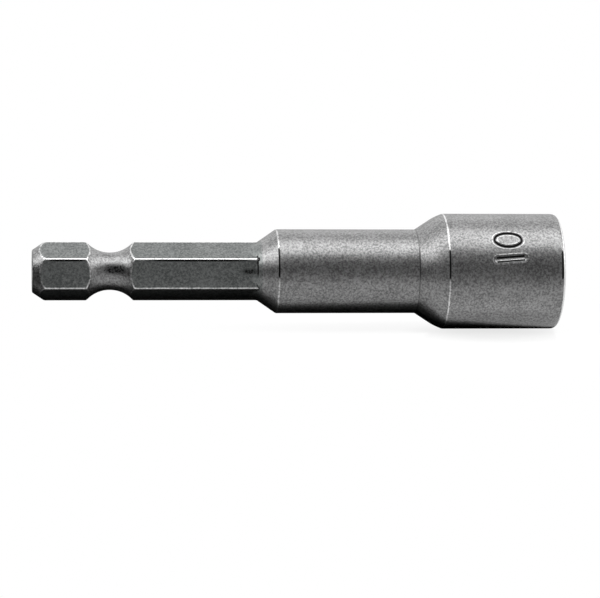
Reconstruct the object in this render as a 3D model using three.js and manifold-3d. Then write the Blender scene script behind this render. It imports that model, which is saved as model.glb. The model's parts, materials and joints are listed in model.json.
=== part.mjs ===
// Magnetic nut setter: a one-piece steel driver with a hexagon socket and a magnet at the bottom of it.
// Millimetres. The tool's axis is +X: the flat end of the shank is at the origin, and the socket's mouth
// is at the far end. +Z is up, and a flat of the shank and a flat of the socket face -Y.

import * as THREE from 'three';
import { mergeVertices, toCreasedNormals } from 'three/addons/utils/BufferGeometryUtils.js';
import Module from 'manifold-3d';

const wasm = await Module();
wasm.setup();

// Lengths of the five stretches of the body, from the drive end to the mouth.
const SHANK_LENGTH = 27.6;
const REAR_CONE_LENGTH = 2.3;
const NECK_LENGTH = 17.3;
const FRONT_CONE_LENGTH = 3.4;
const HEAD_LENGTH = 14.4;

// The hexagonal drive shank, with a chamfered end and a groove for the chuck's locking ball.
const SHANK_ACROSS_FLATS = 6.3;
const SHANK_CORNER_RADIUS = 0.3;
const END_CHAMFER_LENGTH = 1.5;
const END_CHAMFER_ANGLE = THREE.MathUtils.degToRad(34);
const GROOVE_FROM_END = 9.5;
const GROOVE_WIDTH = 5.75;
const GROOVE_DEPTH = 1.3;

// The turned neck, and the concave sweep that carries the flats of the shank up into the rear cone. The
// front cone is crowned: it leans over towards the head after a share of its length, at a share of its rise.
const NECK_DIAMETER = 10.35;
const RUNOUT_RADIUS = 3.5;
const RUNOUT_SINK = 0.12;
const NECK_EDGE_RADIUS = 0.4;
const FRONT_CONE_FILLET = 0.4;
const CROWN_LENGTH_SHARE = 0.68;
const CROWN_RISE_SHARE = 0.77;
const CROWN_RADIUS = 5;
const HEAD_SHOULDER_RADIUS = 0.5;

// The hexagon socket. Each side drives on a flat in its middle and leans away towards relieved corners.
const SOCKET_ACROSS_FLATS = 10.1;
const SOCKET_DEPTH = 9;
const SOCKET_DRIVE_FLAT = 3.4;
const SOCKET_RELIEF_ANGLE = THREE.MathUtils.degToRad(5);
const SOCKET_CORNER_RADIUS = 0.6;
const SOCKET_WALL = 1.3;
const MOUTH_LEAD_IN = 0.25;
const MOUTH_LEAD_ANGLE = THREE.MathUtils.degToRad(40);
const MOUTH_EDGE_RADIUS = 0.8;
const MOUTH_EDGE_SHARE = 0.8;

// The magnet, the adhesive round it, and the knurled sleeve that is pressed into the bore.
const MAGNET_DIAMETER = 5.4;
const MAGNET_LENGTH = 5.6;
const MAGNET_EDGE_RADIUS = 0.3;
const MAGNET_BELOW_RIM = 0.4;
const BOND_THICKNESS = 0.26;
const BOND_BELOW_MAGNET = 0.5;
const SLEEVE_WALL = 0.84;
const SLEEVE_ABOVE_FLOOR = 1;
const SLEEVE_CHAMFER = 0.3;
const KNURL_TEETH = 30;
const KNURL_DEPTH = 0.26;
const KNURL_LAND_SHARE = 0.2;

// Clearances that keep neighbouring pieces apart, and how far a cutter runs past what it cuts.
const PRESS_CLEARANCE = 0.03;
const BOND_CLEARANCE = 0.03;
const SEAT_CLEARANCE = 0.03;
const CUTTER_OVERRUN = 1;

// Fineness of the round forms.
const ROUND_FACETS = 60;
const GROOVE_SECTION_FACETS = 36;
const ARC_STEPS = 2;
const WELD_DISTANCE = 1e-4;
const CREASE_ANGLE = THREE.MathUtils.degToRad(25);

const SIXTH_TURN = Math.PI / 3;
const HEXAGON_SIDES = 6;

// A closed three.js geometry as a solid that can be joined and cut.
function solidOf(geometry) {
  const bare = geometry.index ? geometry.toNonIndexed() : geometry.clone();
  bare.deleteAttribute('normal');
  bare.deleteAttribute('uv');
  const welded = mergeVertices(bare, WELD_DISTANCE);
  const corners = welded.index.array;
  const triangles = [];
  for (let i = 0; i < corners.length; i += 3) {
    const [a, b, c] = corners.slice(i, i + 3);
    if (a !== b && b !== c && c !== a) triangles.push(a, b, c);
  }
  return new wasm.Manifold(new wasm.Mesh({
    numProp: 3,
    vertProperties: welded.attributes.position.array,
    triVerts: new Uint32Array(triangles),
  }));
}

// A finished solid as a three.js geometry, smooth over round faces and sharp at its edges.
function geometryOf(solid) {
  const mesh = solid.getMesh();
  const geometry = new THREE.BufferGeometry();
  geometry.setAttribute('position', new THREE.BufferAttribute(mesh.vertProperties, 3));
  geometry.setIndex(new THREE.BufferAttribute(mesh.triVerts, 1));
  return toCreasedNormals(geometry, CREASE_ANGLE);
}

// A profile with rounded corners, from a list of [along the axis, radius, corner rounding].
// A rounding is held to half of the shorter edge beside it.
function profile(corners) {
  const path = new THREE.Path();
  corners.forEach(([x, y, rounding = 0], i) => {
    const corner = new THREE.Vector2(x, y);
    if (i === 0) {
      path.moveTo(x, y);
      return;
    }
    if (rounding === 0 || i === corners.length - 1) {
      path.lineTo(x, y);
      return;
    }
    const back = new THREE.Vector2(...corners[i - 1].slice(0, 2)).sub(corner);
    const ahead = new THREE.Vector2(...corners[i + 1].slice(0, 2)).sub(corner);
    const room = Math.min(back.length(), ahead.length()) / 2;
    back.normalize();
    ahead.normalize();
    const halfAngle = Math.acos(back.dot(ahead)) / 2;
    const radius = Math.min(rounding, room * Math.tan(halfAngle));
    const reach = radius / Math.tan(halfAngle);
    const middle = back.clone().add(ahead).setLength(radius / Math.sin(halfAngle)).add(corner);
    const arcStart = back.clone().multiplyScalar(reach).add(corner);
    const arcEnd = ahead.clone().multiplyScalar(reach).add(corner);
    const from = arcStart.clone().sub(middle).angle();
    const to = arcEnd.clone().sub(middle).angle();
    path.lineTo(arcStart.x, arcStart.y);
    path.absarc(middle.x, middle.y, radius, from, to, back.cross(ahead) > 0);
  });
  return path;
}

// A solid turned round the X axis from a profile that starts and ends on the axis or closes on itself.
function turned(corners) {
  const points = profile(corners).getPoints(ARC_STEPS);
  const halfSection = points.map((point) => new THREE.Vector2(point.y, point.x));
  return solidOf(new THREE.LatheGeometry(halfSection, ROUND_FACETS).rotateZ(-Math.PI / 2));
}

// A solid of an outline extruded along X from one station to another.
function extruded(outline, from, to) {
  const options = { depth: to - from, bevelEnabled: false, curveSegments: ARC_STEPS };
  return solidOf(new THREE.ExtrudeGeometry(outline, options).rotateY(Math.PI / 2).translate(from, 0, 0));
}

// A hexagon with rounded corners, two of its flats facing up and down the outline's own y axis. Past a
// drive flat in the middle of each side, the side leans outward by the relief angle.
function hexagon(acrossFlats, cornerRadius, driveFlat = 0, reliefAngle = 0) {
  const apothem = acrossFlats / 2;
  const reliefApothem = apothem * Math.cos(reliefAngle) - (driveFlat / 2) * Math.sin(reliefAngle);
  const cornerCentre = (reliefApothem - cornerRadius) / Math.cos(SIXTH_TURN / 2 + reliefAngle);
  const outline = new THREE.Shape();
  for (let side = 0; side < HEXAGON_SIDES; side++) {
    const facing = Math.PI / 2 + side * SIXTH_TURN;
    const corner = facing - SIXTH_TURN / 2;
    const x = cornerCentre * Math.cos(corner);
    const y = cornerCentre * Math.sin(corner);
    outline.absarc(x, y, cornerRadius, facing - SIXTH_TURN - reliefAngle, facing + reliefAngle, false);
    if (driveFlat === 0) continue;
    const out = new THREE.Vector2(Math.cos(facing), Math.sin(facing));
    const along = new THREE.Vector2(-out.y, out.x);
    for (const end of [-driveFlat / 2, driveFlat / 2]) {
      const point = out.clone().multiplyScalar(apothem).addScaledVector(along, end);
      outline.lineTo(point.x, point.y);
    }
  }
  outline.closePath();
  return { outline, cornerReach: cornerCentre + cornerRadius };
}

// A ring of straight knurl teeth seen from the end: a valley, then the two ends of a narrow land.
function knurl(tipRadius, rootRadius) {
  const pitch = (2 * Math.PI) / KNURL_TEETH;
  const half = KNURL_LAND_SHARE / 2;
  const tooth = [[-0.5, rootRadius], [-half, tipRadius], [half, tipRadius]];
  const points = [];
  for (let i = 0; i < KNURL_TEETH; i++) {
    tooth.forEach(([share, radius]) => {
      const angle = (i + share) * pitch;
      points.push(new THREE.Vector2(radius * Math.cos(angle), radius * Math.sin(angle)));
    });
  }
  return new THREE.Shape(points);
}

// Stations along the axis.
const neckStart = SHANK_LENGTH + REAR_CONE_LENGTH;
const neckEnd = neckStart + NECK_LENGTH;
const headStart = neckEnd + FRONT_CONE_LENGTH;
const mouth = headStart + HEAD_LENGTH;
const socketFloor = mouth - SOCKET_DEPTH;

// The cartridge of sleeve, adhesive and magnet stands on the floor of the bore below the socket.
const sleeveLength = MAGNET_LENGTH + MAGNET_BELOW_RIM;
const cartridgeStart = socketFloor + SLEEVE_ABOVE_FLOOR - sleeveLength;
const boreFloor = cartridgeStart - SEAT_CLEARANCE;

// Radii.
const magnetRadius = MAGNET_DIAMETER / 2;
const sleeveInside = magnetRadius + BOND_THICKNESS;
const sleeveTip = sleeveInside + SLEEVE_WALL;
const boreRadius = sleeveTip + PRESS_CLEARANCE;
const neckRadius = NECK_DIAMETER / 2;
const socket = hexagon(SOCKET_ACROSS_FLATS, SOCKET_CORNER_RADIUS, SOCKET_DRIVE_FLAT, SOCKET_RELIEF_ANGLE);
const headRadius = socket.cornerReach + SOCKET_WALL;
const mouthRadius = socket.cornerReach + MOUTH_LEAD_IN;
const mouthEdge = Math.min(MOUTH_EDGE_RADIUS, (headRadius - mouthRadius) * MOUTH_EDGE_SHARE);
const crown = neckEnd + FRONT_CONE_LENGTH * CROWN_LENGTH_SHARE;
const crownRadius = neckRadius + (headRadius - neckRadius) * CROWN_RISE_SHARE;
const shank = hexagon(SHANK_ACROSS_FLATS, SHANK_CORNER_RADIUS);
const shankApothem = SHANK_ACROSS_FLATS / 2;

// The hexagonal bar, chamfered at its end, with the ball groove cut round it by a torus.
function makeShank(end) {
  const bar = extruded(shank.outline, 0, end);
  const endRadius = shank.cornerReach - END_CHAMFER_LENGTH * Math.tan(END_CHAMFER_ANGLE);
  const clearRadius = shank.cornerReach + CUTTER_OVERRUN;
  const chamferEnd = (clearRadius - endRadius) / Math.tan(END_CHAMFER_ANGLE);
  const blank = turned([
    [0, 0],
    [0, endRadius],
    [chamferEnd, clearRadius],
    [end + CUTTER_OVERRUN, clearRadius],
    [end + CUTTER_OVERRUN, 0],
  ]);
  const grooveRadius = (GROOVE_WIDTH ** 2 / 4 + GROOVE_DEPTH ** 2) / (2 * GROOVE_DEPTH);
  const ringRadius = shank.cornerReach - GROOVE_DEPTH + grooveRadius;
  const ring = new THREE.TorusGeometry(ringRadius, grooveRadius, GROOVE_SECTION_FACETS, ROUND_FACETS);
  ring.rotateY(Math.PI / 2).translate(GROOVE_FROM_END, 0, 0);
  return bar.intersect(blank).subtract(solidOf(ring));
}

// The turned stretch from the run-out of the flats to the mouth, before the socket is cut. It starts inside
// the hexagonal bar, a little below its flats, and sweeps up through them into the rear cone.
function makeTurnedBody() {
  const coneSlope = (neckRadius - shank.cornerReach) / REAR_CONE_LENGTH;
  const sunk = shankApothem - RUNOUT_SINK;
  const runout = SHANK_LENGTH - (shank.cornerReach - sunk) / coneSlope;
  const start = runout - RUNOUT_RADIUS;
  return turned([
    [start, 0],
    [start, sunk],
    [runout, sunk, RUNOUT_RADIUS],
    [neckStart, neckRadius, NECK_EDGE_RADIUS],
    [neckEnd, neckRadius, FRONT_CONE_FILLET],
    [crown, crownRadius, CROWN_RADIUS],
    [headStart, headRadius, HEAD_SHOULDER_RADIUS],
    [mouth, headRadius, mouthEdge],
    [mouth, 0],
  ]);
}

// What is taken out of the head: the hexagon, its conical lead-in, and the bore for the sleeve.
function makeSocketCutter() {
  const past = mouth + CUTTER_OVERRUN;
  const slope = Math.tan(MOUTH_LEAD_ANGLE);
  const innerRadius = SOCKET_ACROSS_FLATS / 2 - MOUTH_LEAD_IN;
  const leadIn = turned([
    [mouth - (mouthRadius - innerRadius) / slope, 0],
    [mouth - (mouthRadius - innerRadius) / slope, innerRadius],
    [past, mouthRadius + CUTTER_OVERRUN * slope],
    [past, 0],
  ]);
  const bore = turned([
    [boreFloor, 0],
    [boreFloor, boreRadius],
    [socketFloor + CUTTER_OVERRUN, boreRadius],
    [socketFloor + CUTTER_OVERRUN, 0],
  ]);
  return extruded(socket.outline, socketFloor, past).add(leadIn).add(bore);
}

function makeBody() {
  return makeShank(neckStart).add(makeTurnedBody()).subtract(makeSocketCutter());
}

// The sleeve: knurl teeth along its whole outside, chamfered at both ends and at the inner front edge.
function makeSleeve() {
  const teeth = extruded(knurl(sleeveTip, sleeveTip - KNURL_DEPTH), 0, sleeveLength);
  const ring = turned([
    [0, sleeveInside],
    [0, sleeveTip - SLEEVE_CHAMFER],
    [SLEEVE_CHAMFER, sleeveTip],
    [sleeveLength - SLEEVE_CHAMFER, sleeveTip],
    [sleeveLength, sleeveTip - SLEEVE_CHAMFER],
    [sleeveLength, sleeveInside + SLEEVE_CHAMFER],
    [sleeveLength - SLEEVE_CHAMFER, sleeveInside],
    [0, sleeveInside],
  ]);
  return teeth.intersect(ring);
}

function makeMagnet() {
  return turned([
    [0, 0],
    [0, magnetRadius, MAGNET_EDGE_RADIUS],
    [MAGNET_LENGTH, magnetRadius, MAGNET_EDGE_RADIUS],
    [MAGNET_LENGTH, 0],
  ]);
}

function makeBond() {
  const length = MAGNET_LENGTH - BOND_BELOW_MAGNET;
  const inside = magnetRadius + BOND_CLEARANCE;
  const outside = sleeveInside - BOND_CLEARANCE;
  return turned([[0, inside], [0, outside], [length, outside], [length, inside], [0, inside]]);
}

const blastedSteel = new THREE.MeshStandardMaterial({ color: 0x6f7072, roughness: 0.45, metalness: 1 });
const brass = new THREE.MeshStandardMaterial({ color: 0xc9a24f, roughness: 0.35, metalness: 1 });
const plating = new THREE.MeshStandardMaterial({ color: 0xbfcaca, roughness: 0.25, metalness: 1 });
const adhesive = new THREE.MeshStandardMaterial({ color: 0x17171a, roughness: 0.6, metalness: 0 });

function piece(name, solid, material) {
  const mesh = new THREE.Mesh(geometryOf(solid), material);
  mesh.name = name;
  return mesh;
}

const cartridge = new THREE.Group();
cartridge.position.x = cartridgeStart;
cartridge.add(
  piece('magnet_sleeve', makeSleeve(), brass),
  piece('magnet_bond', makeBond(), adhesive),
  piece('magnet', makeMagnet(), plating),
);

const nutSetter = new THREE.Group();
nutSetter.add(piece('setter_body', makeBody(), blastedSteel), cartridge);

export default nutSetter;
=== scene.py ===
# %% [markdown]
# # A magnetic nut setter
# This lesson dresses one small tool for its photograph. The tool is a single bar of steel, with a
# hexagonal shank for a drill chuck, a turned neck and a socket head. A magnet sits below the socket, in
# a brass sleeve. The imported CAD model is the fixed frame, in metres. The tool's axis is +X, the flat end
# of the shank is at the origin, and +Z is up. What is made here takes the place of the plain solids, at
# their size.

# %% Load the frame
import json
import math

import bmesh
import bpy
from mathutils import Matrix, Vector

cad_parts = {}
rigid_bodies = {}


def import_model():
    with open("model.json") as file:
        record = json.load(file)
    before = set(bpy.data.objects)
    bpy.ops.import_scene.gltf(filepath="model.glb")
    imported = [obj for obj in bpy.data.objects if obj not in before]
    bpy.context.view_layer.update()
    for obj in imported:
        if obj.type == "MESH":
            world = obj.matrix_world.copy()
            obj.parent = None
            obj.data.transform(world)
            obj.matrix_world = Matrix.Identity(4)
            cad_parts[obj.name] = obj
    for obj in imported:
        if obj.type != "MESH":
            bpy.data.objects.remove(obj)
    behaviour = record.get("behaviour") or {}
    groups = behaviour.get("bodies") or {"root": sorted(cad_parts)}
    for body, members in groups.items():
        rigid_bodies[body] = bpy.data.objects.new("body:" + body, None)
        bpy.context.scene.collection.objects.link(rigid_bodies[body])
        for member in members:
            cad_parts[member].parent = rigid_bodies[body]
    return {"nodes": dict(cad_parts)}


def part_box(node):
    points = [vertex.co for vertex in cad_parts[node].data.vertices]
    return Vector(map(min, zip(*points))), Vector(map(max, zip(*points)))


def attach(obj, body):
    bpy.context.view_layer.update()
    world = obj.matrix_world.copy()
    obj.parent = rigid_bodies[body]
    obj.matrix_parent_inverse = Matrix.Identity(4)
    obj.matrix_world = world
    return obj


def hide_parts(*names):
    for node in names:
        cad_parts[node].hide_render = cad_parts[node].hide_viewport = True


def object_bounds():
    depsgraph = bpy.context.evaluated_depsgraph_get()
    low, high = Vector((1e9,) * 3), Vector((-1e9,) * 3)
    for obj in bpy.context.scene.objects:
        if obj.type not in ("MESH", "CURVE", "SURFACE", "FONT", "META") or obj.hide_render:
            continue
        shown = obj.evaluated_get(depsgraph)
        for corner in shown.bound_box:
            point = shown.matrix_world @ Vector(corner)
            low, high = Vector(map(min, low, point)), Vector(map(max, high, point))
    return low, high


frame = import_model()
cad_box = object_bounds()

MM = 0.001
print("CAD nodes:", sorted(frame["nodes"]))
for corner in cad_box:
    print("CAD box corner, mm:", [round(value / MM, 3) for value in corner])

# %% [markdown]
# ## Sizes
# These are the sizes of the CAD model. They are kept in millimetres, as on a workshop drawing, and a
# finished mesh is scaled to metres in one step. Blender's bevel and merge distances are also easier to
# judge at that size: a fillet of 0.3 is a fillet of 0.3 mm.

# %% Lengths along the axis
SHANK_LENGTH = 27.6
REAR_CONE_LENGTH = 2.3
NECK_LENGTH = 17.3
FRONT_CONE_LENGTH = 3.4
HEAD_LENGTH = 14.4
neck_start = SHANK_LENGTH + REAR_CONE_LENGTH
neck_end = neck_start + NECK_LENGTH
head_start = neck_end + FRONT_CONE_LENGTH
mouth = head_start + HEAD_LENGTH

# %% Hexagonal shank
SHANK_ACROSS_FLATS = 6.3
SHANK_CORNER_RADIUS = 0.3
END_CHAMFER_LENGTH = 1.5
END_CHAMFER_SLOPE = math.tan(math.radians(34))
GROOVE_FROM_END = 9.5
GROOVE_WIDTH = 5.75
GROOVE_DEPTH = 1.3
SIDES = 6
SIXTH_TURN = math.tau / SIDES


def hexagon_radius(angle, across_flats, corner_radius, drive_flat=0.0, relief=0.0):
    """How far a rounded hexagon's wall is from its axis, at an angle from the middle of a flat."""
    from_flat = abs((angle + SIXTH_TURN / 2) % SIXTH_TURN - SIXTH_TURN / 2)
    from_corner = SIXTH_TURN / 2 - from_flat
    apothem = across_flats / 2
    relief_apothem = apothem * math.cos(relief) - drive_flat / 2 * math.sin(relief)
    lean = SIXTH_TURN / 2 + relief
    centre = (relief_apothem - corner_radius) / math.cos(lean)
    tangent = math.atan2(corner_radius * math.sin(lean), centre + corner_radius * math.cos(lean))
    if from_corner < tangent:
        half_chord = math.sqrt(corner_radius**2 - (centre * math.sin(from_corner)) ** 2)
        return centre * math.cos(from_corner) + half_chord
    return max(apothem / math.cos(from_flat), relief_apothem / math.cos(from_flat + relief))


def shank_radius(angle):
    return hexagon_radius(angle, SHANK_ACROSS_FLATS, SHANK_CORNER_RADIUS)


shank_corner = shank_radius(SIXTH_TURN / 2)
print("Shank, mm: flats at", SHANK_ACROSS_FLATS / 2, "and corners at", round(shank_corner, 3))

# %% Neck, head and socket
NECK_RADIUS = 5.175
CROWN_LENGTH_SHARE = 0.68
CROWN_RISE_SHARE = 0.77
RUNOUT_RADIUS = 3.5
RUNOUT_SINK = 0.12
SOCKET_ACROSS_FLATS = 10.1
SOCKET_DEPTH = 9.0
SOCKET_DRIVE_FLAT = 3.4
SOCKET_RELIEF = math.radians(5)
SOCKET_CORNER_RADIUS = 0.6
SOCKET_WALL = 1.3
MOUTH_LEAD_IN = 0.25
MOUTH_LEAD_SLOPE = math.tan(math.radians(40))


def socket_radius(angle):
    return hexagon_radius(angle, SOCKET_ACROSS_FLATS, SOCKET_CORNER_RADIUS,
                          SOCKET_DRIVE_FLAT, SOCKET_RELIEF)


socket_corner = socket_radius(SIXTH_TURN / 2)
head_radius = socket_corner + SOCKET_WALL
mouth_radius = socket_corner + MOUTH_LEAD_IN
socket_floor = mouth - SOCKET_DEPTH

# %% Magnet cartridge
MAGNET_RADIUS = 2.7
MAGNET_LENGTH = 5.6
MAGNET_BELOW_RIM = 0.4
BOND_THICKNESS = 0.26
BOND_BELOW_MAGNET = 0.5
BOND_CLEARANCE = 0.03
SLEEVE_WALL = 0.84
SLEEVE_ABOVE_FLOOR = 1.0
KNURL_TEETH = 30
KNURL_DEPTH = 0.26
PRESS_CLEARANCE = 0.03
sleeve_inside = MAGNET_RADIUS + BOND_THICKNESS
sleeve_tip = sleeve_inside + SLEEVE_WALL
sleeve_length = MAGNET_LENGTH + MAGNET_BELOW_RIM
cartridge_start = socket_floor + SLEEVE_ABOVE_FLOOR - sleeve_length
cad_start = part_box("magnet_sleeve")[0].x / MM
print("Sleeve starts at", round(cartridge_start, 3), "mm, the CAD at", round(cad_start, 3))

# %% [markdown]
# ## Workshop helpers
# Most of this tool is turned, so the meshes follow the same steps as the metal. A wire is drawn along
# half of the section, its corners are rounded with a vertex bevel, and one spin sweeps it round the
# axis. Cutting the wire with planes puts rings of points where a later cut needs them, and leaves the
# plain stretches light.

# %% Draw, round and turn an outline
ROUNDING_STEPS = 6
WELD_DISTANCE = 0.0005


def draw_line(bm, corners, start=None):
    """A wire through (station, radius) corners in the XZ plane, going on from a vertex if one is given."""
    trail = [start] if start else []
    for station, radius in corners:
        trail.append(bm.verts.new((station, 0, radius)))
    for pair in zip(trail, trail[1:]):
        bm.edges.new(pair)
    return trail


def round_corner(bm, vert, reach):
    """Rounds one corner of a wire, starting at the given distance from it along both edges."""
    bmesh.ops.bevel(bm, geom=[vert], offset=reach, offset_type="OFFSET", segments=ROUNDING_STEPS,
                    profile=0.5, affect="VERTICES", material=-1)


def cut_stations(bm, zones):
    """Cuts a wire at every step of the (from, to, step) zones along the axis."""
    for start, end, step in zones:
        for i in range(round((end - start) / step) + 1):
            plane = (start + i * step, 0, 0)
            bmesh.ops.bisect_plane(bm, geom=bm.verts[:] + bm.edges[:], dist=WELD_DISTANCE,
                                   plane_co=plane, plane_no=(1, 0, 0))


def turn(bm, steps):
    """Spins a wire round the X axis into a closed skin that faces outwards."""
    bmesh.ops.spin(bm, geom=bm.verts[:] + bm.edges[:], cent=(0, 0, 0), axis=(1, 0, 0),
                   angle=math.tau, steps=steps, use_merge=True)
    bmesh.ops.remove_doubles(bm, verts=bm.verts[:], dist=WELD_DISTANCE)
    bmesh.ops.recalc_face_normals(bm, faces=bm.faces[:])


# %% Read and set a point's place round the axis
def polar(vert):
    """A vertex's distance from the axis, and its angle up from the side that faces the camera."""
    return math.hypot(vert.co.y, vert.co.z), math.atan2(vert.co.z, -vert.co.y)


def set_polar(vert, radius, angle):
    vert.co.y = -radius * math.cos(angle)
    vert.co.z = radius * math.sin(angle)


# %% Blend two surfaces with a small rounded edge
def smooth_min(first, second, blend):
    """The lower of two heights, with the edge where they cross rounded off."""
    near = max(blend - abs(first - second), 0) / blend
    return min(first, second) - near * near * blend / 4


def smooth_max(first, second, blend):
    return -smooth_min(-first, -second, blend)


# %% Finish a piece
def add_object(bm, name, material):
    """Makes an object with one material from a mesh."""
    mesh = bpy.data.meshes.new(name)
    bm.to_mesh(mesh)
    bm.free()
    mesh.materials.append(material)
    made = bpy.data.objects.new(name, mesh)
    bpy.context.scene.collection.objects.link(made)
    return made


def finish_piece(bm, name, node, material):
    """Scales a mesh to metres and puts it in the place of its CAD node."""
    bmesh.ops.scale(bm, vec=(MM, MM, MM), verts=bm.verts[:])
    for face in bm.faces:
        face.smooth = True
    piece = add_object(bm, name, material)
    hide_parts(node)
    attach(piece, "root")
    triangles = sum(len(polygon.vertices) - 2 for polygon in piece.data.polygons)
    print(name, "has", triangles, "triangles in place of", node)


# %% [markdown]
# ## Shader arithmetic
# A finish is a small calculation at every point of a surface. Written with nodes it is hard to read, so
# this class wraps an output socket and lets plain Python sums and products add the Math nodes. Every
# other node comes from one method, which takes the node's type, its settings and the values or links of
# its sockets.

# %% Wrap a socket
class Wire:
    """An output of a node. Sums and products of wires and numbers add Math nodes to the same tree."""

    def __init__(self, tree, owner=None, output=0):
        self.tree = tree
        self.owner = owner
        self.socket = owner.outputs[output] if owner and owner.outputs else None

    def node(self, kind, settings=None, inputs=None, output=0):
        made = self.tree.nodes.new(kind)
        for key, value in (settings or {}).items():
            setattr(made, key, value)
        for key, value in (inputs or {}).items():
            if isinstance(value, Wire):
                self.tree.links.new(value.socket, made.inputs[key])
            else:
                made.inputs[key].default_value = value
        return Wire(self.tree, made, output)

    def output(self, name):
        """Another output of the same node."""
        return Wire(self.tree, self.owner, name)

    def maths(self, operation, *values):
        return self.node("ShaderNodeMath", {"operation": operation}, dict(enumerate(values)))

    def __add__(self, other):
        return self.maths("ADD", self, other)

    def __sub__(self, other):
        return self.maths("SUBTRACT", self, other)

    def __rsub__(self, other):
        return self.maths("SUBTRACT", other, self)

    def __mul__(self, other):
        return self.maths("MULTIPLY", self, other)

    __radd__ = __add__
    __rmul__ = __mul__

    def highest(self, other):
        return self.maths("MAXIMUM", self, other)

    def ramp(self, low, high):
        """0 below one value and 1 above another, with a smooth rise between them."""
        return self.node("ShaderNodeMapRange", {"interpolation_type": "SMOOTHSTEP"},
                         {"Value": self, "From Min": low, "From Max": high})

    def mix(self, first, second):
        """Goes from one colour to another as this value goes from 0 to 1."""
        return self.node("ShaderNodeMix", {"data_type": "RGBA"}, {0: self, 6: first, 7: second}, output=2)


# %% Start and end a finish
def new_material(name):
    """A material with an empty node tree, and a wire to start its nodes from."""
    material = bpy.data.materials.new(name)
    material.use_nodes = True
    material.node_tree.nodes.clear()
    return material, Wire(material.node_tree)


def show(tree, shader):
    """Links a shader to the material's output."""
    tree.node("ShaderNodeOutputMaterial", {}, {"Surface": shader})


def surface(tree, colour, roughness, height, depth, strength=1.0, metallic=1.0):
    """Ends a finish with its colour, its roughness and a bump that is so many millimetres deep."""
    bump = tree.node("ShaderNodeBump", {}, {
        "Strength": strength,
        "Distance": depth * MM,
        "Height": height,
    })
    show(tree, tree.node("ShaderNodeBsdfPrincipled", {}, {
        "Base Color": colour,
        "Metallic": metallic,
        "Roughness": roughness,
        "Normal": bump,
    }))


# %% Read what a finish depends on
def object_place(tree):
    """Where a point is on its piece, in metres."""
    return tree.node("ShaderNodeTexCoord", output="Object")


def noise(tree, place, scale, detail):
    """Fractal noise from about 0 to 1. The scale is in spots to the metre."""
    return tree.node("ShaderNodeTexNoise", {}, {"Vector": place, "Scale": scale, "Detail": detail})


def attribute(tree, name):
    """A value that the mesh keeps at its vertices."""
    return tree.node("ShaderNodeAttribute", {"attribute_name": name}, output="Fac")


def grey(level):
    return (level, level, level, 1)


# %% [markdown]
# ## Blasted steel
# The body has a matt grey skin from shot blasting: thousands of tiny dents and a little soft unevenness.
# The drawn flats of the shank are darker and more even. The socket's walls are painted dark, as painted
# shade in the recess. Bright metal shows where edges are worn through, and the same bright metal paints
# highlights on some edges and on the floor of the size mark's bar. Inward corners are painted darker, and
# painted shade darkens a band of the near side and a few patches. The dents could be modelled, but they
# are finer than a hair, so they are noise in the bump, the roughness and the colour. Where the flats, the
# socket, the wear and highlights, and the residue and painted shade are is known when the mesh is made,
# so the mesh keeps them as attributes.

# %% Steel finish
STEEL_DARK = grey(0.103)
STEEL_PALE = grey(0.26)
FLAT_DARK = (0.091, 0.097, 0.095, 1)
FLAT_PALE = (0.196, 0.203, 0.201, 1)
# Bright worn steel, also used to paint highlights on edges and on the floor of the mark's bar.
STEEL_WORN_AND_HIGHLIGHT = grey(0.66)
# Painted shade on the socket's walls.
SOCKET_SHADE = grey(0.07)
# Residue black, also used for painted shade in corners, on the near side's band, on patches and in the
# mark.
RESIDUE_AND_SHADE_BLACK = grey(0.01)
# The wear attribute also holds painted highlights.
WEAR_AND_HIGHLIGHT_ATTRIBUTE = "wear_and_painted_highlight"
FLAT_ATTRIBUTE = "drawn_flat"
# The residue attribute also holds painted shade.
RESIDUE_AND_SHADE_ATTRIBUTE = "residue_and_painted_shade"
SOCKET_ATTRIBUTE = "socket_wall"
DENTS = {"scale": 4000, "detail": 3}
FINE_DENTS = {"scale": 8500, "detail": 1}
CLOUDS = {"scale": 300, "detail": 3}
DENT_SHARE = 0.6
FINE_SHARE = 0.25
CLOUD_SHARE = 0.15
NOISE_MIDDLE = 0.5
TONE_RANGE = (0.36, 0.64)
WEAR_PATCHINESS = 0.8
WEAR_RANGE = (0.3, 0.95)
RESIDUE_AND_SHADE_RANGE = (0.3, 0.7)
DENT_DEPTH = 0.024
SKIN_ROUGHNESS = 0.3
GRAIN_ROUGHNESS = 0.16
RUBBED_SMOOTHNESS = 0.06


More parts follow.
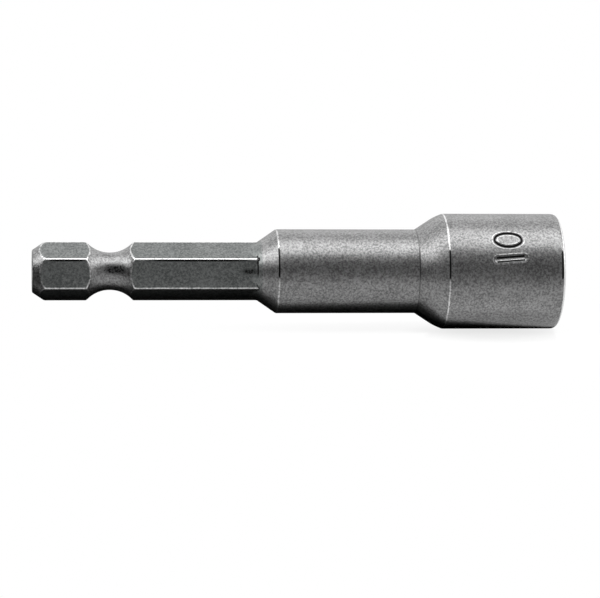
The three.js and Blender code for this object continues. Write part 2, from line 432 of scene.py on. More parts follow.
def blasted_steel():
    material, tree = new_material("blasted_steel")
    place = object_place(tree)
    dents = noise(tree, place, **DENTS)
    fine_dents = noise(tree, place, **FINE_DENTS)
    clouds = noise(tree, place, **CLOUDS)
    grain = dents * DENT_SHARE + fine_dents * FINE_SHARE + clouds * CLOUD_SHARE
    patches = dents - NOISE_MIDDLE
    flat = attribute(tree, FLAT_ATTRIBUTE)
    darkest = flat.mix(STEEL_DARK, FLAT_DARK)
    palest = flat.mix(STEEL_PALE, FLAT_PALE)
    skin = grain.ramp(*TONE_RANGE).mix(darkest, palest)
    # Bright wear, partly a painted highlight.
    wear_and_highlight_share = (attribute(tree, WEAR_AND_HIGHLIGHT_ATTRIBUTE) + patches * WEAR_PATCHINESS).ramp(*WEAR_RANGE)
    # Residue and painted shade.
    residue_and_shade = (attribute(tree, RESIDUE_AND_SHADE_ATTRIBUTE) + patches).ramp(*RESIDUE_AND_SHADE_RANGE)
    outside = residue_and_shade.mix(wear_and_highlight_share.mix(skin, STEEL_WORN_AND_HIGHLIGHT), RESIDUE_AND_SHADE_BLACK)
    # Painted shade darkens the socket's walls.
    colour = attribute(tree, SOCKET_ATTRIBUTE).mix(outside, SOCKET_SHADE)
    roughness = SKIN_ROUGHNESS + grain * GRAIN_ROUGHNESS - wear_and_highlight_share * RUBBED_SMOOTHNESS
    surface(tree, colour, roughness, grain, DENT_DEPTH)
    return material


# %% [markdown]
# ## Body
# The bar is drawn as it is turned on the lathe, before its flats are milled: the shank stretch is a
# plain round of clearance size with the chamfer and the ball groove in it. The groove is an arc, so it
# is one vertex spun about the middle of the ball's track.

# %% Sizes of the turned outline
CLEARANCE_RADIUS = 3.9
SEAT_CLEARANCE = 0.03

end_radius = shank_corner - END_CHAMFER_LENGTH * END_CHAMFER_SLOPE
groove_radius = (GROOVE_WIDTH**2 / 4 + GROOVE_DEPTH**2) / (2 * GROOVE_DEPTH)
groove_centre = shank_corner - GROOVE_DEPTH + groove_radius
groove_half_angle = math.acos((groove_centre - CLEARANCE_RADIUS) / groove_radius)
groove_reach = groove_radius * math.sin(groove_half_angle)
cone_slope = (NECK_RADIUS - shank_corner) / REAR_CONE_LENGTH
cone_clear = SHANK_LENGTH + (CLEARANCE_RADIUS - shank_corner) / cone_slope
crown = neck_end + FRONT_CONE_LENGTH * CROWN_LENGTH_SHARE
crown_radius = NECK_RADIUS + (head_radius - NECK_RADIUS) * CROWN_RISE_SHARE
pilot_radius = SOCKET_ACROSS_FLATS / 2 - MOUTH_LEAD_IN
pilot_end = mouth - (mouth_radius - pilot_radius) / MOUTH_LEAD_SLOPE
bore_radius = sleeve_tip + PRESS_CLEARANCE
bore_floor = cartridge_start - SEAT_CLEARANCE
print("Ball groove radius", round(groove_radius, 3), "mm, bore radius", round(bore_radius, 3), "mm")

# %% Draw the turned outline
GROOVE_STEPS = 40
END_EDGE = 0.16
NECK_EDGE = 0.13
FRONT_FILLET = 0.12
CROWN_REACH = 0.46
SHOULDER_EDGE = 0.12
MOUTH_EDGE = 0.8
RIM_EDGE = 0.1

body = bmesh.new()
drive_end = draw_line(body, [
    (0, 0),
    (0, end_radius),
    ((CLEARANCE_RADIUS - end_radius) / END_CHAMFER_SLOPE, CLEARANCE_RADIUS),
    (GROOVE_FROM_END - groove_reach, CLEARANCE_RADIUS),
])
arc = bmesh.ops.spin(body, geom=[drive_end[-1]], cent=(GROOVE_FROM_END, 0, groove_centre), axis=(0, 1, 0),
                     angle=-2 * groove_half_angle, steps=GROOVE_STEPS)
rest = draw_line(body, [
    (cone_clear, CLEARANCE_RADIUS),
    (neck_start, NECK_RADIUS),
    (neck_end, NECK_RADIUS),
    (crown, crown_radius),
    (head_start, head_radius),
    (mouth, head_radius),
    (mouth, mouth_radius),
    (pilot_end, pilot_radius),
    (socket_floor, pilot_radius),
    (socket_floor, bore_radius),
    (bore_floor, bore_radius),
    (bore_floor, 0),
], start=arc["geom_last"][0])
edge_reaches = [NECK_EDGE, FRONT_FILLET, CROWN_REACH, SHOULDER_EDGE, MOUTH_EDGE, RIM_EDGE]
round_corner(body, drive_end[1], END_EDGE)
for vert, reach in zip(rest[2:], edge_reaches):
    round_corner(body, vert, reach)
print("Body outline has", len(body.verts), "points")

# %% [markdown]
# The flats, the chamfer's curved edges and the socket come next. A mill takes off what stands outside
# the hexagon and a broach opens the pilot hole to the socket's walls, so both are limits on how far a
# point may be from the axis. Points are bunched towards the six corners first, because that is where the
# form is tightest. Each limit is blended over a tenth of a millimetre, which leaves the fine rounded
# edges of a real tool.

# %% Turn the bar
TURN_STEPS = 192
FINE_STEP = 0.06
MARK_STEP = 0.2
WIDE_STEP = 0.8
CHAMFER_ZONE = (0.15, 2.1)
COLLAR_ZONE = (2.6, 5.8)
GROOVE_START_ZONE = (6.0, 7.4)
GROOVE_END_ZONE = (11.6, 13.0)
SHANK_ZONE = (13.8, 25.0)
RUNOUT_ZONE = (25.4, 27.9)
CONE_ZONE = (28.2, 29.4)
MARK_ZONE = (55.2, 61.0)
LEAD_IN_ZONE = (mouth - 1.5, mouth - 0.02)

cut_stations(body, [
    (*CHAMFER_ZONE, FINE_STEP),
    (*COLLAR_ZONE, WIDE_STEP),
    (*GROOVE_START_ZONE, FINE_STEP),
    (*GROOVE_END_ZONE, FINE_STEP),
    (*SHANK_ZONE, WIDE_STEP),
    (*RUNOUT_ZONE, FINE_STEP),
    (*CONE_ZONE, WIDE_STEP),
    (neck_start + WIDE_STEP, neck_end - WIDE_STEP, WIDE_STEP),
    (neck_end - FINE_STEP, neck_end + FINE_STEP, FINE_STEP),
    (neck_end + WIDE_STEP, crown, WIDE_STEP),
    (head_start + WIDE_STEP, MARK_ZONE[0], WIDE_STEP),
    (*MARK_ZONE, MARK_STEP),
    (MARK_ZONE[1] + WIDE_STEP, mouth - 2 * MOUTH_EDGE, WIDE_STEP),
    (*LEAD_IN_ZONE, FINE_STEP),
])
turn(body, TURN_STEPS)
for name in (FLAT_ATTRIBUTE, RESIDUE_AND_SHADE_ATTRIBUTE, WEAR_AND_HIGHLIGHT_ATTRIBUTE, SOCKET_ATTRIBUTE):
    body.verts.layers.float.new(name)
print("Turned body has", len(body.faces), "faces")

# %% Mill and broach it
CORNER_BUNCHING = 0.6
MILLED_EDGE = 0.11
RUNOUT_EDGE = 0.09
LEAD_IN_WEAR = 0.95


def runout_height(station):
    """The concave sweep that carries the flats up into the rear cone."""
    sunk = SHANK_ACROSS_FLATS / 2 - RUNOUT_SINK
    corner = SHANK_LENGTH - (shank_corner - sunk) / cone_slope
    cone_angle = math.atan(cone_slope)
    start = corner - RUNOUT_RADIUS * math.tan(cone_angle / 2)
    if station < start:
        return sunk
    if station > start + RUNOUT_RADIUS * math.sin(cone_angle):
        return sunk + (station - corner) * cone_slope
    return sunk + RUNOUT_RADIUS - math.sqrt(RUNOUT_RADIUS**2 - (station - start) ** 2)


def mill_and_broach(bm):
    """Brings points inside the shank's hexagon and outside the socket's, and counts both kinds."""
    flat = bm.verts.layers.float[FLAT_ATTRIBUTE]
    socket = bm.verts.layers.float[SOCKET_ATTRIBUTE]
    wear_and_highlight = bm.verts.layers.float[WEAR_AND_HIGHLIGHT_ATTRIBUTE]
    for vert in bm.verts:
        station = vert.co.x
        radius, angle = polar(vert)
        if radius < WELD_DISTANCE:
            continue
        angle -= CORNER_BUNCHING / SIDES * math.sin(SIDES * (angle - SIXTH_TURN / 2))
        if station < cone_clear:
            vert[flat] = float(radius > shank_radius(angle))
            radius = smooth_min(radius, shank_radius(angle), MILLED_EDGE)
        if SHANK_LENGTH / 2 < station < cone_clear:
            radius = smooth_max(radius, runout_height(station), RUNOUT_EDGE)
        if station > bore_floor - WELD_DISTANCE and radius < mouth_radius:
            broached = radius < socket_radius(angle)
            # The broached walls are kept for painted shade in the steel finish.
            vert[socket] = float(broached)
            vert[wear_and_highlight] = 0.0 if broached else LEAD_IN_WEAR
            if radius > pilot_radius - WELD_DISTANCE:
                radius = smooth_max(radius, socket_radius(angle), MILLED_EDGE)
        set_polar(vert, radius, angle)
    return sum(vert[flat] for vert in bm.verts), sum(vert[socket] for vert in bm.verts)


milled, broached = mill_and_broach(body)
print("Points milled:", round(milled), "and broached:", round(broached))

# %% [markdown]
# ## Size mark
# The head carries its size in millimetres, stamped by hand: a long ring and a bar that is slightly
# askew. A boolean cut would leave ragged faces on a skin this fine, so the patch under the mark is
# subdivided and its points are pushed in by their distance from the middle of the nearest stroke. Dark
# residue and painted shade fill the ring's stroke, and painted shade darkens the bar's two walls. A
# painted highlight brightens the bar's floor, and the raised lips are bright with wear.

# %% Strokes of the size mark
RING_STROKE = 0.22
RING_MIDDLE = (57.89, math.radians(38.7))
RING_HALF_LENGTH = 1.68
RING_HALF_WIDTH = 0.98
RING_LEAST_REACH = 0.01
BAR_STROKE = 0.5
BAR_MIDDLE = (58.08, math.radians(18.25))
BAR_HALF_LENGTH = 1.62
BAR_TILT = math.radians(-4.5)
LIP_HALF_WIDTH = 0.1


def from_ring(along, around):
    """Distance from the middle of the ring's stroke, which follows an ellipse."""
    length_share = along / RING_HALF_LENGTH
    width_share = around / RING_HALF_WIDTH
    reach = max(math.hypot(length_share, width_share), RING_LEAST_REACH)
    slope = math.hypot(length_share / RING_HALF_LENGTH, width_share / RING_HALF_WIDTH) / reach
    return abs(reach - 1) / slope


def from_bar(along, around):
    """Distances past the end of the bar's stroke, a short straight line, and across it."""
    lengthwise = along * math.cos(BAR_TILT) - around * math.sin(BAR_TILT)
    across = along * math.sin(BAR_TILT) + around * math.cos(BAR_TILT)
    return max(abs(lengthwise) - BAR_HALF_LENGTH, 0), across


def stamped(distance, half_width):
    """How far the punch went in at a distance from the middle of a stroke, as a share from 0 to 1."""
    share = min(distance / half_width, 1)
    return (1 + math.cos(math.pi * share)) / 2


def lip(distance, half_width):
    """How far the metal rose beside a stroke, as a share from 0 to 1."""
    return stamped(abs(distance - half_width - LIP_HALF_WIDTH), LIP_HALF_WIDTH)


def stroke_walls(share):
    """1 halfway down a stroke's wall, and 0 at its lip and on its floor."""
    return (4 * share * (1 - share)) ** 2


def stroke_floor(share):
    """1 on the floor of a stroke, and 0 from three quarters of its depth upwards."""
    return max(4 * share - 3, 0)


# %% Stamp the size mark
MARK_CUTS = 3
MARK_DEPTH = 0.14
MARK_ANGLES = (math.radians(7), math.radians(52))
MARK_MARGIN = 0.1
LIP_HEIGHT = 0.02
LIP_WEAR = 0.75
RESIDUE_AND_SHADE_GAIN = 1.7
BAR_OPEN_END = 0.1


def on_mark(face):
    """Whether a face lies on the patch of the head that takes the mark."""
    middle = face.calc_center_median()
    angle = math.atan2(middle.z, -middle.y)
    on_skin = math.hypot(middle.y, middle.z) > head_radius - MARK_MARGIN
    on_stretch = MARK_ZONE[0] < middle.x < MARK_ZONE[1]
    return on_skin and on_stretch and MARK_ANGLES[0] < angle < MARK_ANGLES[1]


def stamp_mark(bm):
    """Pushes the two figures in, and keeps their residue, painted shade, painted highlight and bright lips
    as attributes.
    """
    patch = [face for face in bm.faces if on_mark(face)]
    edges = {edge for face in patch for edge in face.edges}
    bmesh.ops.subdivide_edges(bm, edges=list(edges), cuts=MARK_CUTS, use_grid_fill=True)
    residue_and_shade = bm.verts.layers.float[RESIDUE_AND_SHADE_ATTRIBUTE]
    wear_and_highlight = bm.verts.layers.float[WEAR_AND_HIGHLIGHT_ATTRIBUTE]
    count = 0
    for vert in bm.verts:
        radius, angle = polar(vert)
        on_stretch = MARK_ZONE[0] - MARK_MARGIN < vert.co.x < MARK_ZONE[1] + MARK_MARGIN
        if radius < head_radius - MARK_MARGIN or not on_stretch:
            continue
        ring_place = (vert.co.x - RING_MIDDLE[0], (angle - RING_MIDDLE[1]) * head_radius)
        bar_place = (vert.co.x - BAR_MIDDLE[0], (angle - BAR_MIDDLE[1]) * head_radius)
        ring_distance = from_ring(*ring_place)
        past_end, across = from_bar(*bar_place)
        bar_distance = math.hypot(past_end, across)
        ring = stamped(ring_distance, RING_STROKE)
        bar = stamped(bar_distance, BAR_STROKE)
        edge = max(lip(ring_distance, RING_STROKE), lip(bar_distance, BAR_STROKE))
        set_polar(vert, head_radius - MARK_DEPTH * max(ring, bar) + LIP_HEIGHT * edge, angle)
        # Dark residue and painted shade in the ring's stroke, painted shade on the bar's walls, and a
        # painted highlight on the bar's floor.
        painted_wall_shade = stroke_walls(bar) if past_end < BAR_OPEN_END else 0
        vert[residue_and_shade] = min(RESIDUE_AND_SHADE_GAIN * max(ring, painted_wall_shade), 1)
        vert[wear_and_highlight] = max(LIP_WEAR * edge, stroke_floor(bar))
        count += max(ring, bar) > 0
    return count


print("Size mark takes up", stamp_mark(body), "points")

# %% [markdown]
# ## Wear, residue and painted shade
# Wear shows where a surface turns sharply outwards. For each edge of the mesh, the angle between its two
# faces over the distance between their middles is a curvature, in turns of one radian to the millimetre.
# A fillet of 0.3 mm gives about 3, and the round neck only 0.2, so a ramp between those picks out the
# edges. The bright wear on the turned edges is partly a painted highlight. Inward corners are painted
# darker. On the near side, a band across the turned edges gets painted shade in place of wear.

# %% How well an edge is rubbed, and the band of painted shade
END_WEAR = 0.3
LENGTHWISE_WEAR = 0.8
ARC_WEAR = 0.63
NECK_WEAR = 0.7
SHOULDER_WEAR = 0.78
HIGH_WEAR = 0.88
LOW_WEAR = 0.8
# The near side's band of painted shade, in millimetres up from the axis.
DARK_BETWEEN = (0.0, 3.0)
DARK_FADE = 0.4
end_zone = END_CHAMFER_LENGTH / 4


def share_between(low, high, value):
    return min(max((value - low) / (high - low), 0), 1)


def rubbing_and_painted_dark_band(vert):
    """How much a place is rubbed: little at the shank's end, and not at all in the near side's band of
    painted shade.
    """
    if vert.co.x < end_zone:
        return END_WEAR
    if vert.co.x < SHANK_LENGTH:
        return 1.0 if vert.co.z > 0 else LOW_WEAR
    above_low = share_between(DARK_BETWEEN[0] - DARK_FADE, DARK_BETWEEN[0], vert.co.z)
    above_dark = share_between(DARK_BETWEEN[1], DARK_BETWEEN[1] + DARK_FADE, vert.co.z)
    if vert.co.y > 0:
        above_dark = 1.0
    return LOW_WEAR * (1 - above_low) + HIGH_WEAR * above_low * above_dark


def brightest(vert, lengthwise):
    """How bright an edge gets if it is well rubbed."""
    if vert.co.x > neck_end:
        return SHOULDER_WEAR
    if vert.co.x > SHANK_LENGTH:
        return NECK_WEAR
    return LENGTHWISE_WEAR if lengthwise else ARC_WEAR


# %% Mark the edges and the mouth
MILLED_CURVATURE = (1.2, 2.0)
TURNED_CURVATURE = (0.7, 1.2)
# How dark inward corners and the painted shade on unrubbed turned edges are painted.
CORNER_AND_BAND_DARKENING = 0.85
CREVICE_CLEANED = 0.4
MOUTH_WEAR = 0.85
MOUTH_ROUNDING = 1.0
MOUTH_BAND = (0.36, 0.6)
WORN_FROM = 0.5


def mark_edges(bm, wear_and_highlight, residue_and_shade):
    """Keeps bright wear and painted highlight on outward edges, darker paint in inward corners, and
    painted shade on turned edges that aren't rubbed.
    """
    for edge in bm.edges:
        spread = sum(face.calc_area() for face in edge.link_faces) / 2
        if len(edge.link_faces) != 2 or spread == 0:
            continue
        curvature = edge.calc_face_angle_signed(0) * edge.calc_length() / spread
        run = edge.verts[0].co - edge.verts[1].co
        lengthwise = abs(run.x) > run.length / 2
        for vert in edge.verts:
            if MARK_ZONE[0] < vert.co.x < MARK_ZONE[1] or vert.co.x > mouth - MOUTH_ROUNDING:
                continue
            turned = vert.co.x > SHANK_LENGTH
            limits = TURNED_CURVATURE if turned else MILLED_CURVATURE
            outward = share_between(*limits, curvature)
            inward = share_between(*limits, -curvature)
            wear_and_highlight_share = rubbing_and_painted_dark_band(vert)
            vert[wear_and_highlight] = max(vert[wear_and_highlight], brightest(vert, lengthwise) * outward * wear_and_highlight_share)
            # Inward corners are painted darker, and turned edges that aren't rubbed get painted shade.
            dark = max(inward * (1 - CREVICE_CLEANED * wear_and_highlight_share), outward * (1 - wear_and_highlight_share) * turned)
            vert[residue_and_shade] = max(vert[residue_and_shade], CORNER_AND_BAND_DARKENING * dark)


def mark_mouth(bm, wear_and_highlight, residue_and_shade):
    """Keeps a bright ring on the rounded mouth, and painted shade behind it, darkest in the near side's
    band.
    """
    for vert in bm.verts:
        if vert.co.x < mouth - MOUTH_BAND[1] or polar(vert)[0] < mouth_radius:
            continue
        if vert.co.x > mouth - MOUTH_BAND[0]:
            vert[wear_and_highlight] = MOUTH_WEAR
        else:
            # Painted shade behind the mouth's bright ring.
            vert[residue_and_shade] = CORNER_AND_BAND_DARKENING * (1 - rubbing_and_painted_dark_band(vert))


bmesh.ops.recalc_face_normals(body, faces=body.faces[:])
wear_and_highlight_layer = body.verts.layers.float[WEAR_AND_HIGHLIGHT_ATTRIBUTE]
residue_and_shade_layer = body.verts.layers.float[RESIDUE_AND_SHADE_ATTRIBUTE]
mark_edges(body, wear_and_highlight_layer, residue_and_shade_layer)
mark_mouth(body, wear_and_highlight_layer, residue_and_shade_layer)
print("Worn points on the body:", sum(vert[wear_and_highlight_layer] > WORN_FROM for vert in body.verts))

# %% [markdown]
# Painted shade also darkens a few patches on the near side: in the ball groove, where a flat runs out into
# the cone, and in a line under the shank's upper edge. They could be painted by hand in Vertex Paint.
# Here each one is an oval on the side view, given by its middle, its reach and its strength, so that it
# can be read and changed.

# %% Paint patches of shade on the near side
# Patches of painted shade on the near side.
PAINTED_DARK_PATCHES = [
    {"middle": (10.1, 0.5), "reach": (1.7, 1.1), "strength": 0.6},
    {"middle": (26.4, 0.3), "reach": (1.2, 0.65), "strength": 0.58},
    {"middle": (27.45, 1.0), "reach": (0.12, 2.2), "strength": 0.8},
    {"middle": (4.2, 1.64), "reach": (2.7, 0.17), "strength": 1.0},
    {"middle": (20.2, 1.64), "reach": (7.6, 0.17), "strength": 1.0},
]


def paint_dark_patch(bm, residue_and_shade, middle, reach, strength):
    """Paints a patch of shade on the near side, strongest in its middle and gone at its edge."""
    for vert in bm.verts:
        if vert.co.y < 0:
            along = (vert.co.x - middle[0]) / reach[0]
            across = (vert.co.z - middle[1]) / reach[1]
            fade = min(along**4 + across**2, 1)
            vert[residue_and_shade] = max(vert[residue_and_shade], strength * (1 - fade))


for patch in PAINTED_DARK_PATCHES:
    paint_dark_patch(body, residue_and_shade_layer, **patch)
finish_piece(body, "driver_body", "setter_body", blasted_steel())

# %% [markdown]
# ## Knurled sleeve
# The magnet is held in a brass sleeve with straight teeth rolled round its outside, and the teeth bite
# when it is pressed into its bore. A ring section is spun with a dozen steps to a tooth, and the points
# outside the tooth form are drawn in, which leaves each tooth a narrow land and a rounded valley. The
# brass was drawn as a tube, so its finish has fine streaks along the axis, and spots of tarnish.

# %% Brass finish
BRASS_BRIGHT = (0.83, 0.60, 0.24, 1)
BRASS_DULL = (0.42, 0.27, 0.09, 1)
BRASS_SPOTS = {"scale": 2400, "detail": 3}
BRASS_STREAKS = {"scale": 9000, "detail": 1}
STREAK_STRETCH = (0.1, 1, 1)
SPOT_SHARE = 0.6
STREAK_SHARE = 0.4
TARNISH_RANGE = (0.35, 0.7)
STREAK_DEPTH = 0.004
BRASS_ROUGHNESS = 0.24
TARNISH_ROUGHNESS = 0.2


def drawn_brass():
    material, tree = new_material("drawn_brass")
    place = object_place(tree)
    stretched = tree.node("ShaderNodeMapping", {}, {"Vector": place, "Scale": STREAK_STRETCH})
    spots = noise(tree, place, **BRASS_SPOTS)
    streaks = noise(tree, stretched, **BRASS_STREAKS)
    tarnish = (spots * SPOT_SHARE + streaks * STREAK_SHARE).ramp(*TARNISH_RANGE)
    colour = tarnish.mix(BRASS_BRIGHT, BRASS_DULL)
    surface(tree, colour, BRASS_ROUGHNESS + tarnish * TARNISH_ROUGHNESS, streaks, STREAK_DEPTH)
    return material


# %% Sleeve
SLEEVE_CHAMFER = 0.3
TOOTH_CHAMFER = 0.12
SLEEVE_EDGE = 0.05
TOOTH_STEPS = 12
KNURL_LAND_SHARE = 0.2


def draw_ring(bm, corners, reach):
    """A closed section with every corner rounded, for a spin that comes back to itself."""
    points = draw_line(bm, corners)
    bm.edges.new((points[-1], points[0]))
    for point in points:
        round_corner(bm, point, reach)


def tooth_radius(angle):
    """The knurl's outline: a narrow land at the tip, then a smooth fall to the valley."""
    turns = angle / math.tau * KNURL_TEETH
    from_tip = abs(turns - round(turns))
    fall = max(from_tip - KNURL_LAND_SHARE / 2, 0) / (0.5 - KNURL_LAND_SHARE / 2)
    return sleeve_tip - KNURL_DEPTH * fall * fall * (3 - 2 * fall)


sleeve = bmesh.new()
sleeve_front = cartridge_start + sleeve_length
draw_ring(sleeve, [
    (cartridge_start, sleeve_inside),
    (cartridge_start, sleeve_tip - TOOTH_CHAMFER),
    (cartridge_start + TOOTH_CHAMFER, sleeve_tip),
    (sleeve_front - TOOTH_CHAMFER, sleeve_tip),
    (sleeve_front, sleeve_tip - TOOTH_CHAMFER),
    (sleeve_front, sleeve_inside + SLEEVE_CHAMFER),
    (sleeve_front - SLEEVE_CHAMFER, sleeve_inside),
], SLEEVE_EDGE)
turn(sleeve, KNURL_TEETH * TOOTH_STEPS)
for vert in sleeve.verts:
    radius, angle = polar(vert)
    set_polar(vert, min(radius, tooth_radius(angle)), angle)
finish_piece(sleeve, "knurled_sleeve", "magnet_sleeve", drawn_brass())

# %% [markdown]
# ## Magnet and adhesive
# The magnet is a plated slug with tumbled edges. The plating is bright but not polished: it has a faint
# crystalline mottle, which Voronoi cells give better than noise alone. The adhesive that holds it shows
# only as a thin black ring, sunk a little below the magnet's face and drawn up at both walls, as a
# liquid sets. A cylinder and a tube would do for both, but a spun section can have the rounded edges and
# the hollow.

# %% Plating finish
PLATING_PALE = (0.66, 0.74, 0.74, 1)
PLATING_GREY = (0.44, 0.52, 0.53, 1)
FLAKE_SCALE = 2600.0
FLAKE_SHARE = 0.5
CLOUDING = {"scale": 1500, "detail": 3}
CLOUDING_SHARE = 0.5
MOTTLE_RANGE = (0.25, 0.75)
MOTTLE_DEPTH = 0.006
MOTTLE_STRENGTH = 0.6
PLATING_ROUGHNESS = 0.24
MOTTLE_ROUGHNESS = 0.18


def satin_plating():
    material, tree = new_material("satin_plating")
    place = object_place(tree)
    flakes = tree.node("ShaderNodeTexVoronoi", {}, {"Vector": place, "Scale": FLAKE_SCALE}, output="Color")
    flake = tree.node("ShaderNodeSeparateColor", {}, {0: flakes})
    mottle = flake * FLAKE_SHARE + noise(tree, place, **CLOUDING) * CLOUDING_SHARE
    colour = mottle.ramp(*MOTTLE_RANGE).mix(PLATING_GREY, PLATING_PALE)
    roughness = PLATING_ROUGHNESS + mottle * MOTTLE_ROUGHNESS
    surface(tree, colour, roughness, mottle, MOTTLE_DEPTH, strength=MOTTLE_STRENGTH)
    return material


# %% Adhesive finish
ADHESIVE_BLACK = grey(0.012)
RIPPLES = {"scale": 1800, "detail": 2}
RIPPLE_DEPTH = 0.03
RIPPLE_STRENGTH = 0.5
ADHESIVE_ROUGHNESS = 0.35
RIPPLE_ROUGHNESS = 0.2


def black_adhesive():
    material, tree = new_material("black_adhesive")
    ripples = noise(tree, object_place(tree), **RIPPLES)
    roughness = ADHESIVE_ROUGHNESS + ripples * RIPPLE_ROUGHNESS
    surface(tree, ADHESIVE_BLACK, roughness, ripples, RIPPLE_DEPTH, strength=RIPPLE_STRENGTH, metallic=0.0)
    return material


# %% Magnet
MAGNET_EDGE = 0.18
ROUND_STEPS = 96
magnet = bmesh.new()
magnet_face = cartridge_start + MAGNET_LENGTH
slug = draw_line(magnet, [
    (cartridge_start, 0),
    (cartridge_start, MAGNET_RADIUS),
    (magnet_face, MAGNET_RADIUS),
    (magnet_face, 0),
])
round_corner(magnet, slug[1], MAGNET_EDGE)
round_corner(magnet, slug[2], MAGNET_EDGE)
turn(magnet, ROUND_STEPS)
finish_piece(magnet, "magnet_slug", "magnet", satin_plating())

# %% Adhesive ring
MENISCUS_DEPTH = 0.08
bond = bmesh.new()
bond_inside = MAGNET_RADIUS + BOND_CLEARANCE
bond_outside = sleeve_inside - BOND_CLEARANCE
bond_top = magnet_face - BOND_BELOW_MAGNET
section = draw_line(bond, [
    (cartridge_start, bond_inside),
    (cartridge_start, bond_outside),
    (bond_top, bond_outside),
    (bond_top - MENISCUS_DEPTH, (bond_inside + bond_outside) / 2),
    (bond_top, bond_inside),
])
bond.edges.new((section[-1], section[0]))
round_corner(bond, section[3], MENISCUS_DEPTH)
turn(bond, ROUND_STEPS)
finish_piece(bond, "adhesive_ring", "magnet_bond", black_adhesive())

# %% [markdown]
# ## Studio
# The tool lies on a white table before a white wall. White paint alone would come out grey and uneven,
# so the camera and the reflections see plain white in its place, and the paint only sends light back to
# the tool. Near the tool a small share of the paint stays in view, and with it a faint shadow. In front
# of the head the table top also mirrors a little, as a glossy sheet does.

# %% White table and wall
TABLE_RADIUS = 14.0
TABLE_SEGMENTS = 96
TABLE_GAP = 0.02 * MM
WALL_DISTANCE = 1.2
WALL_HALF_SIZE = 2.0
WHITE_PAINT = grey(0.82)
FULL_WHITE = grey(1.0)
SHADOW_SHARE = 0.07
SHADOW_REACH = (12.0 * MM, 40.0 * MM)
MIRROR_SHARE = 0.16
MIRROR_ROUGHNESS = 0.1
MIRROR_MIDDLE = (56.5 * MM, -5.0 * MM)
MIRROR_REACH = (3.0 * MM, 12.5 * MM)
table_height = cad_box[0].z - TABLE_GAP


def studio_white():
    material, tree = new_material("studio_white")
    ray = tree.node("ShaderNodeLightPath", output="Is Camera Ray")
    seen = ray.highest(ray.output("Is Glossy Ray")).highest(ray.output("Is Transmission Ray"))
    points = {0: object_place(tree), 1: (*MIRROR_MIDDLE, table_height)}
    distance = tree.node("ShaderNodeVectorMath", {"operation": "DISTANCE"}, points, output="Value")
    mirrored = 1 - distance.ramp(*MIRROR_REACH)
    shaded = 1 - distance.ramp(*SHADOW_REACH)
    paint = tree.node("ShaderNodeBsdfDiffuse", {}, {"Color": WHITE_PAINT})
    gloss = tree.node("ShaderNodeBsdfGlossy", {}, {"Color": FULL_WHITE, "Roughness": MIRROR_ROUGHNESS})
    glow = tree.node("ShaderNodeEmission", {}, {"Color": FULL_WHITE, "Strength": 1.0})
    table_top = tree.node("ShaderNodeMixShader", {}, {0: mirrored * MIRROR_SHARE, 1: glow, 2: gloss})
    plain = seen * (1 - shaded * SHADOW_SHARE)
    show(tree, tree.node("ShaderNodeMixShader", {}, {0: plain, 1: paint, 2: table_top}))
    return material


def stage_piece(bm, name, material):
    """Adds a piece of the studio, which isn't part of the tool."""
    piece = add_object(bm, name, material)
    return piece


white = studio_white()
table = bmesh.new()
bmesh.ops.create_circle(table, cap_ends=True, radius=TABLE_RADIUS, segments=TABLE_SEGMENTS)
bmesh.ops.translate(table, vec=(0, 0, table_height), verts=table.verts[:])
stage_piece(table, "table", white)

wall = bmesh.new()
upright = Matrix.Rotation(math.pi / 2, 3, "X")
bmesh.ops.create_grid(wall, x_segments=1, y_segments=1, size=WALL_HALF_SIZE)
bmesh.ops.rotate(wall, cent=(0, 0, 0), matrix=upright, verts=wall.verts[:])
bmesh.ops.translate(wall, vec=(0, WALL_DISTANCE, table_height), verts=wall.verts[:])
stage_piece(wall, "wall", white)
print("Table at", round(table_height / MM, 3), "mm")

# %% [markdown]
# ## Cards
# Metal shows what is round it, so photographers lay cards beside it. Only reflections see these. A black
# one under the tool gives its lower edges a dark line against the white, and slants back under the head,
# where that line fades out. A grey one in front tones down the near side, and two dark ones, one lying
# and one standing, shade the end of the shank.

# %% Cards for the reflections
CARD_BLACK = grey(0.0)
CARD_DARK = grey(0.02)
CARD_GREY = grey(0.22)
LOW_LIFT = 0.005
HIGH_LIFT = 0.01
BLACK_CARD = [(-30, -1.5), (50, -4.1), (64.8, -1.9), (64.8, 18), (-29, 23)]
GREY_CARD = [(-150, -160), (220, -160), (220, -24), (-150, -24)]
CORNER_CARD = [(-60, -130), (-4, -130), (-4, -3), (-60, -3)]
SIDE_CARD = [(-60, -130, 0), (-60, 20, 0), (-60, 20, 40), (-60, -130, 40)]


def lay(corners, lift):
    """Puts the corners of a card, in millimetres, at one height over the table."""
    return [(*corner, lift) for corner in corners]


def reflected_card(name, shade, corners):
    """A card at the table that only reflections see."""
    bm = bmesh.new()
    bm.faces.new([bm.verts.new(corner) for corner in corners])
    bmesh.ops.scale(bm, vec=(MM, MM, MM), verts=bm.verts[:])
    bmesh.ops.translate(bm, vec=(0, 0, table_height), verts=bm.verts[:])
    material, tree = new_material(name)
    show(tree, tree.node("ShaderNodeBsdfDiffuse", {}, {"Color": shade}))
    card = stage_piece(bm, name, material)
    card.visible_camera = False
    card.visible_diffuse = False
    card.visible_shadow = False
    card.visible_transmission = False
    print(name, "has", len(corners), "corners")


reflected_card("black_card", CARD_BLACK, lay(BLACK_CARD, HIGH_LIFT))
reflected_card("grey_card", CARD_GREY, lay(GREY_CARD, LOW_LIFT))
reflected_card("corner_card", CARD_DARK, lay(CORNER_CARD, HIGH_LIFT))
reflected_card("side_card", CARD_DARK, SIDE_CARD)

# %% [markdown]
# ## Lamps
# A long soft box hangs over the near side and draws the bright band along the neck and the head. A
# dimmer one fills the top from behind, one at the left lights the cones, and one that stands in front of
# the mouth lights the socket. The room round them is a plain dim grey, so that the steel keeps its dark
# middle.

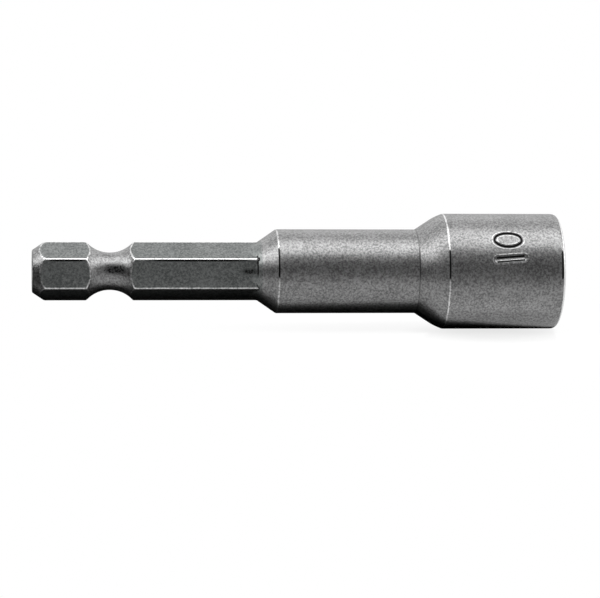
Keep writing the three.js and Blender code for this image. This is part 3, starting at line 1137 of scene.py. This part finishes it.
# %% Soft boxes and room
KEY_BOX = {"size": (3.2, 0.24), "place": (0.0325, -0.085, 0.28), "radiance": 3.5}
BACK_BOX = {"size": (1.4, 0.465), "place": (0.0325, 0.2675, 0.28), "radiance": 0.9}
LEFT_BOX = {"size": (1.0, 0.24), "place": (-0.75, -0.085, 0.29), "radiance": 2.0}
MOUTH_BOX = {"size": (0.3, 0.4), "place": (0.4, 0.0, 0.14), "radiance": 1.0, "lean": math.pi / 2}
ROOM_GREY = grey(0.2)


def soft_box(name, size, place, radiance, lean=0.0):
    """A flat lamp that faces down, or that leans over towards the tool's mouth."""
    lamp = bpy.data.lights.new(name, "AREA")
    lamp.shape = "RECTANGLE"
    lamp.size, lamp.size_y = size
    lamp.energy = radiance * math.pi * size[0] * size[1]
    box = bpy.data.objects.new(name, lamp)
    box.location = place
    box.rotation_euler.y = lean
    box.visible_camera = False
    bpy.context.scene.collection.objects.link(box)
    print(name, "power:", round(lamp.energy, 3), "W")


soft_box("key_box", **KEY_BOX)
soft_box("back_box", **BACK_BOX)
soft_box("left_box", **LEFT_BOX)
soft_box("mouth_box", **MOUTH_BOX)

room = bpy.data.worlds.new("room")
room.use_nodes = True
room.node_tree.nodes["Background"].inputs["Color"].default_value = ROOM_GREY
bpy.context.scene.world = room
bpy.context.scene.view_settings.view_transform = "Standard"

# %% [markdown]
# ## Camera
# The photograph is a long-lens picture from a little above and a little to the shank's side. The angles,
# the distance and the focal length come from where the ends, edges and widths of the tool fall in the
# picture.

# %% Camera
PICTURE_WIDTH = 600
FOCAL_PIXELS = 2892.2
SENSOR_WIDTH = 36.0
CAMERA_AZIMUTH = math.radians(-6.2135)
CAMERA_ELEVATION = math.radians(6.537)
CAMERA_ROLL = math.radians(0.6534)
CAMERA_DISTANCE = 357.16
CAMERA_TARGET = Vector((32.99, 0, -3.449))

back = Vector((
    math.sin(CAMERA_AZIMUTH) * math.cos(CAMERA_ELEVATION),
    -math.cos(CAMERA_AZIMUTH) * math.cos(CAMERA_ELEVATION),
    math.sin(CAMERA_ELEVATION),
))
right = Vector((math.cos(CAMERA_AZIMUTH), math.sin(CAMERA_AZIMUTH), 0))
up = back.cross(right)
facing = Matrix((right, up, back)).transposed().to_4x4()
lens = bpy.data.cameras.new("camera")
lens.sensor_fit = "HORIZONTAL"
lens.sensor_width = SENSOR_WIDTH
lens.lens = FOCAL_PIXELS * SENSOR_WIDTH / PICTURE_WIDTH
camera = bpy.data.objects.new("camera", lens)
place = Matrix.Translation((CAMERA_TARGET + back * CAMERA_DISTANCE) * MM)
camera.matrix_world = place @ facing @ Matrix.Rotation(CAMERA_ROLL, 4, "Z")
bpy.context.scene.collection.objects.link(camera)
bpy.context.scene.camera = camera
print("Camera at", [round(value / MM, 1) for value in camera.location], "mm")
print("Lens:", round(lens.lens, 2), "mm")
